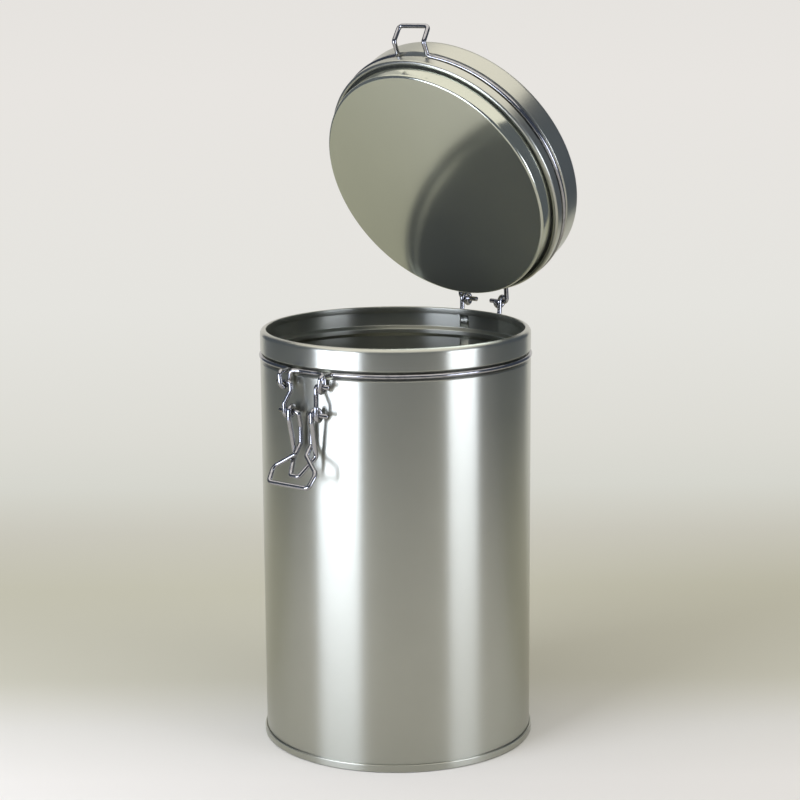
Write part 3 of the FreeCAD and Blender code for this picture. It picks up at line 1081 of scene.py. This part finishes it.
# ---- clip ----
@dataclass
class Clip(SubAssembly):
    """The wire lever that hangs in the eyes and the bail it carries."""

    lever_x: float = 6.3
    lever_peg: float = 12.7
    coil_x: float = 7.9
    coil_turn: float = 2.3
    shoulder: tuple[float, float, float] = (5.3, -0.6, 16.5)
    tip: tuple[float, float, float] = (2.0, 6.0, 23.5)
    rod_end: float = 11.9
    bail_x: float = 2.7
    bail_in: float = 1.3
    bail_upper: float = 5.5
    bail_lower: float = 12.1
    neck_out: float = 2.0
    neck_drop: float = 16.0
    bell_x: float = 10.6
    bell_run: float = 6.5
    bell_length: float = 12.9
    bar_x: float = 9.8
    bell_lean: float = 37.0

    def below(self, place: tuple[float, float, float]) -> Vector:
        """A point given as x, distance outside and distance below the bail axis."""
        y, z = self.tin.bail_axis
        return Vector((place[0], y - place[1], z - place[2]))

    def build_lever(self) -> bpy.types.Object:
        """Bend the lever: pegs in the eyes, a coil each side, a finger tip.

        Returns:
            The lever, hanging.
        """
        tin = self.tin
        y, z = tin.bail_axis
        lever_y, lever_z = tin.lever_axis
        out, inside = y - tin.loop, y + tin.loop
        high, low = z + tin.loop, z - tin.loop
        inner_x = self.coil_x - self.coil_turn
        turn = tin.coil(
            inner_x,
            self.coil_turn,
            [(out, high), (inside, high), (inside, low), (out, low), (out, high + tin.short)],
        )
        tip = self.below(self.tip)
        path = WirePath(Vector((0, tip.y, tip.z)))
        path.run(
            [
                Bend(tip, tin.short),
                Bend(self.below(self.shoulder), tin.bend),
                Bend(Vector((inner_x, out, low - tin.short)), 2 * tin.bend),
                *(Bend(corner, tin.tight) for corner in turn[:-1]),
                Bend(turn[-1], tin.bend),
                Bend(Vector((self.lever_x, lever_y, lever_z - 2 * tin.bend)), tin.bend),
                Bend(Vector((self.lever_x, lever_y, lever_z)), tin.short),
                Bend(Vector((self.lever_peg, lever_y, lever_z))),
            ]
        )
        return wire_piece("clip_lever_wire", path.both_sides(), tin.wire)

    def build_bail(self) -> bpy.types.Object:
        """Bend the bail: a rod through the coils, legs and a bell-shaped loop.

        Returns:
            The bail, hanging.
        """
        tin = self.tin
        lean = math.radians(self.bell_lean)
        along = Vector((0, -math.sin(lean), -math.cos(lean)))
        neck = self.below((self.bail_x, self.neck_out, self.neck_drop))
        bar = neck + along * self.bell_length
        wide = neck + along * self.bell_run
        path = WirePath(Vector((0, bar.y, bar.z)))
        path.run(
            [
                Bend(Vector((self.bar_x, bar.y, bar.z)), tin.bend),
                Bend(Vector((self.bell_x, wide.y, wide.z)), 2 * tin.bend),
                Bend(neck, tin.short),
                Bend(self.below((self.bail_x, -self.bail_in, self.bail_lower)), tin.bend),
                Bend(self.below((self.bail_x, -self.bail_in, self.bail_upper)), tin.bend),
                Bend(self.below((self.bail_x, 0, 0)), tin.short),
                Bend(self.below((self.rod_end, 0, 0))),
            ]
        )
        return wire_piece("clip_bail_wire", path.both_sides(), tin.wire)

    def build(self, wire: bpy.types.Material) -> None:
        """Build and dress the clip's pieces.

        Args:
            wire: The plated wire finish.
        """
        self.keep(self.build_lever(), "clip_lever", Body.LEVER, Slot.STEEL_WIRE, wire)
        self.keep(self.build_bail(), "clip_bail", Body.BAIL, Slot.STEEL_WIRE, wire)


# ---- studio ----
@dataclass(frozen=True)
class SoftBox:
    """A soft rectangular lamp that stands round the can and faces its axis.

    Azimuth is in degrees from the camera's direction, positive to its right;
    reach is the distance from the axis, middle, width and height are in mm.
    """

    name: str
    azimuth: float
    reach: float
    middle: float
    width: float
    height: float
    watts: float
    colour: str


@dataclass
class Studio:
    """Pale sheet, soft lamps, room tone and the camera.

    Places are given as seen from the camera's side of the can: right, back
    and up from the centre of the base, in mm.
    """

    azimuth: float = 38.0
    distance: float = 841.6
    camera_height: float = 305.8
    pitch: float = 11.34
    yaw: float = 0.11
    roll: float = -0.4
    lens: float = 96.2
    sheet_half: float = 480.0
    sheet_front: float = 520.0
    sheet_back: float = 520.0
    sheet_bend: float = 260.0
    sheet_top: float = 900.0
    sheet_gap: float = 0.15
    glow_from: float = 80.0
    glow_full: float = 450.0
    lamp_aim: float = 80.0
    room_tone: str = "#525a67"
    backdrop: str = "#dedcd8"
    lamps: tuple[SoftBox, ...] = (
        SoftBox("soft_box_left", -48, 620, 165, 410, 310, 3.3, "#e4ebff"),
        SoftBox("soft_box_right", 56, 800, 165, 370, 310, 2.3, "#e9eeff"),
        SoftBox("soft_box_above", 0, 50, 1500, 2600, 2600, 29.0, "#fff8ee"),
    )
    # The sheet's colour by how far back and then up it has travelled. The darker band from about 60
    # to 310 mm behind the can is painted shade, standing for the light's falloff there.
    tones_with_painted_shade: tuple[tuple[float, str], ...] = (
        (-520, "#e6e3da"),
        (-60, "#e5e2da"),
        (0, "#dbd9d0"),
        (60, "#cac8b7"),
        (200, "#c8c6b3"),
        (310, "#cdcbbf"),
        (420, "#d6d6ce"),
        (560, "#dddcd5"),
        (760, "#e5e4df"),
        (1000, "#e8e5e1"),
        (1350, "#dedcd8"),
    )

    def spot(self, right: float, back: float, up: float) -> Vector:
        """Turn a place given from the camera's side into the frame.

        Args:
            right: Distance to the right in mm.
            back: Distance away from the camera in mm.
            up: Height in mm.

        Returns:
            The place in metres.
        """
        turn = math.radians(self.azimuth)
        x = right * math.cos(turn) - back * math.sin(turn)
        y = right * math.sin(turn) + back * math.cos(turn)
        return Vector((x, y, up)) * MM

    def add_camera(self) -> None:
        """Create the camera and make it the scene's own."""
        data = bpy.data.cameras.new("studio_camera")
        data.sensor_width = 36.0
        data.lens = self.lens
        data.clip_start = 0.01
        data.clip_end = 20.0
        camera = bpy.data.objects.new("studio_camera", data)
        bpy.context.scene.collection.objects.link(camera)
        pitch, yaw, roll = (math.radians(v) for v in (self.pitch, self.yaw, self.roll))
        ahead = self.spot(
            math.sin(yaw) * math.cos(pitch) / MM,
            math.cos(yaw) * math.cos(pitch) / MM,
            -math.sin(pitch) / MM,
        ).normalized()
        right = self.spot(math.cos(yaw) / MM, -math.sin(yaw) / MM, 0).normalized()
        up = right.cross(ahead)
        rolled_right = right * math.cos(roll) + up * math.sin(roll)
        rolled_up = rolled_right.cross(ahead)
        basis = Matrix((rolled_right, rolled_up, -ahead)).transposed().to_4x4()
        place = self.spot(0, -self.distance, self.camera_height)
        camera.matrix_world = Matrix.Translation(place) @ basis
        bpy.context.scene.camera = camera

    def add_sheet(self) -> None:
        """Lay the pale paper sheet that sweeps up behind the can."""
        mesh = bmesh.new()
        ends = [
            mesh.verts.new(self.spot(side * self.sheet_half, -self.sheet_front, -self.sheet_gap))
            for side in (-1, 1)
        ]
        front = mesh.edges.new(ends)
        grown = bmesh.ops.extrude_edge_only(mesh, edges=[front])
        moved = [item for item in grown["geom"] if isinstance(item, bmesh.types.BMVert)]
        across = self.spot(0, self.sheet_front + self.sheet_back, 0) - self.spot(0, 0, 0)
        bmesh.ops.translate(mesh, vec=across, verts=moved)
        far = [item for item in grown["geom"] if isinstance(item, bmesh.types.BMEdge)]
        far = [edge for edge in far if all(vert in moved for vert in edge.verts)]
        swept = bmesh.ops.spin(
            mesh,
            geom=far,
            cent=self.spot(0, self.sheet_back, self.sheet_bend),
            axis=self.spot(1, 0, 0).normalized(),
            dvec=(0, 0, 0),
            angle=math.radians(90),
            steps=24,
        )
        top = [item for item in swept["geom_last"] if isinstance(item, bmesh.types.BMEdge)]
        raised = bmesh.ops.extrude_edge_only(mesh, edges=top)
        verts = [item for item in raised["geom"] if isinstance(item, bmesh.types.BMVert)]
        bmesh.ops.translate(mesh, vec=(0, 0, self.sheet_top * MM), verts=verts)
        bmesh.ops.recalc_face_normals(mesh, faces=mesh.faces[:])
        sheet = keep_piece(mesh, "paper_sweep")
        dress(sheet, self.sheet_material())

    def sheet_material(self) -> bpy.types.Material:
        """Make matt paper that keeps shadows near the can and glows behind it, with a band of
        painted shade just behind the can.

        Returns:
            The paper, whose glow shows in the camera and in reflections alone.
        """
        material, tree = fresh_material("matt background paper")
        place = add_node(tree, "ShaderNodeTexCoord")
        turned = add_node(
            tree,
            "ShaderNodeMapping",
            inputs={
                "Vector": place.outputs["Object"],
                "Rotation": (0, 0, -math.radians(self.azimuth)),
            },
        )
        parts = add_node(tree, "ShaderNodeSeparateXYZ", inputs={"Vector": turned.outputs["Vector"]})
        travelled = add_node(
            tree,
            "ShaderNodeMath",
            settings={"operation": "ADD"},
            inputs={0: parts.outputs["Y"], 1: parts.outputs["Z"]},
        )
        along = add_node(
            tree,
            "ShaderNodeMapRange",
            inputs={
                "Value": travelled.outputs[0],
                "From Min": self.tones_with_painted_shade[0][0] * MM,
                "From Max": self.tones_with_painted_shade[-1][0] * MM,
            },
        )
        # Colour ramp with painted shade: its darker band behind the can stands for the light's
        # falloff, both in the paper's colour and in its glow.
        glow = add_node(tree, "ShaderNodeValToRGB", inputs={"Fac": along.outputs["Result"]})
        (start, nearest), *between, (end, farthest) = self.tones_with_painted_shade
        stops = glow.color_ramp.elements
        stops[0].color = linear(nearest)
        stops[-1].color = linear(farthest)
        for travel, colour in between:
            stops.new((travel - start) / (end - start)).color = linear(colour)
        paper = add_node(
            tree, "ShaderNodeBsdfDiffuse", inputs={"Color": glow.outputs["Color"], "Roughness": 0.6}
        )
        emitter = add_node(
            tree, "ShaderNodeEmission", inputs={"Color": glow.outputs["Color"], "Strength": 1.0}
        )
        rays = add_node(tree, "ShaderNodeLightPath")
        seen = add_node(
            tree,
            "ShaderNodeMath",
            settings={"operation": "MAXIMUM"},
            inputs={0: rays.outputs["Is Camera Ray"], 1: rays.outputs["Is Glossy Ray"]},
        )
        blend = add_node(
            tree,
            "ShaderNodeMapRange",
            settings={"interpolation_type": "SMOOTHSTEP"},
            inputs={
                "Value": travelled.outputs[0],
                "From Min": self.glow_from * MM,
                "From Max": self.glow_full * MM,
            },
        )
        share = add_node(
            tree,
            "ShaderNodeMath",
            settings={"operation": "MULTIPLY"},
            inputs={0: seen.outputs[0], 1: blend.outputs["Result"]},
        )
        mixed = add_node(
            tree,
            "ShaderNodeMixShader",
            inputs={0: share.outputs[0], 1: paper.outputs["BSDF"], 2: emitter.outputs["Emission"]},
        )
        add_node(tree, "ShaderNodeOutputMaterial", inputs={"Surface": mixed.outputs["Shader"]})
        return material

    def add_lamp(self, box: SoftBox) -> None:
        """Stand one soft box round the can.

        Args:
            box: The lamp's place, size and light.
        """
        data = bpy.data.lights.new(box.name, "AREA")
        data.shape = "RECTANGLE"
        data.size, data.size_y = box.width * MM, box.height * MM
        data.energy = box.watts
        data.color = linear(box.colour)[:3]
        lamp = bpy.data.objects.new(box.name, data)
        bpy.context.scene.collection.objects.link(lamp)
        lamp.visible_camera = False
        turn = math.radians(box.azimuth)
        place = self.spot(box.reach * math.sin(turn), -box.reach * math.cos(turn), box.middle)
        facing = (Vector((0, 0, self.lamp_aim * MM)) - place).normalized()
        aimed = facing.to_track_quat("-Z", "Y").to_matrix().to_4x4()
        lamp.matrix_world = Matrix.Translation(place) @ aimed

    def add_room(self) -> None:
        """Show the camera a pale world and everything else a dim room."""
        world = bpy.data.worlds.new("studio_room")
        world.use_nodes = True
        tree = world.node_tree
        tree.nodes.clear()
        rays = add_node(tree, "ShaderNodeLightPath")
        tone = add_node(
            tree,
            "ShaderNodeMix",
            settings={"data_type": "RGBA"},
            inputs={
                "Factor": rays.outputs["Is Camera Ray"],
                MIX_FIRST: linear(self.room_tone),
                MIX_SECOND: linear(self.backdrop),
            },
        )
        room = add_node(
            tree,
            "ShaderNodeBackground",
            inputs={"Color": tone.outputs[MIX_RESULT], "Strength": 1.0},
        )
        add_node(tree, "ShaderNodeOutputWorld", inputs={"Surface": room.outputs["Background"]})
        bpy.context.scene.world = world

    def build(self) -> None:
        """Set up the whole studio."""
        self.add_camera()
        self.add_sheet()
        self.add_room()
        for box in self.lamps:
            self.add_lamp(box)
        bpy.context.scene.view_settings.view_transform = "Standard"


# ---- main ----
def main() -> None:
    """Load the frame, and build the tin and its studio."""
    logging.basicConfig(level=logging.INFO, format="%(name)s: %(message)s")
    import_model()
    tin = Tin()
    Studio().build()

    lid_turn = (math.radians(tin.lid_open), 0.0, 0.0)
    wall_sheet = TinplateFinish("satin tinplate, grain round the can").make()
    cap_sheet = TinplateFinish(
        "satin tinplate, grain across the lid", grain_turn=lid_turn, around=False
    ).make()
    plug_sheet = TinplateFinish(
        "bright tinplate of the plug",
        colour="#c2c5b6",
        dulled="#bbbeb0",
        roughness=0.13,
        bare=0.88,
        grain_turn=lid_turn,
        around=False,
    ).make()
    wire = PlatedWireFinish().make()

    Can(tin).build(wall_sheet, wire)
    Lid(tin).build(cap_sheet, plug_sheet, wire)
    Clip(tin).build(wire)


if __name__ == "__main__":
    main()
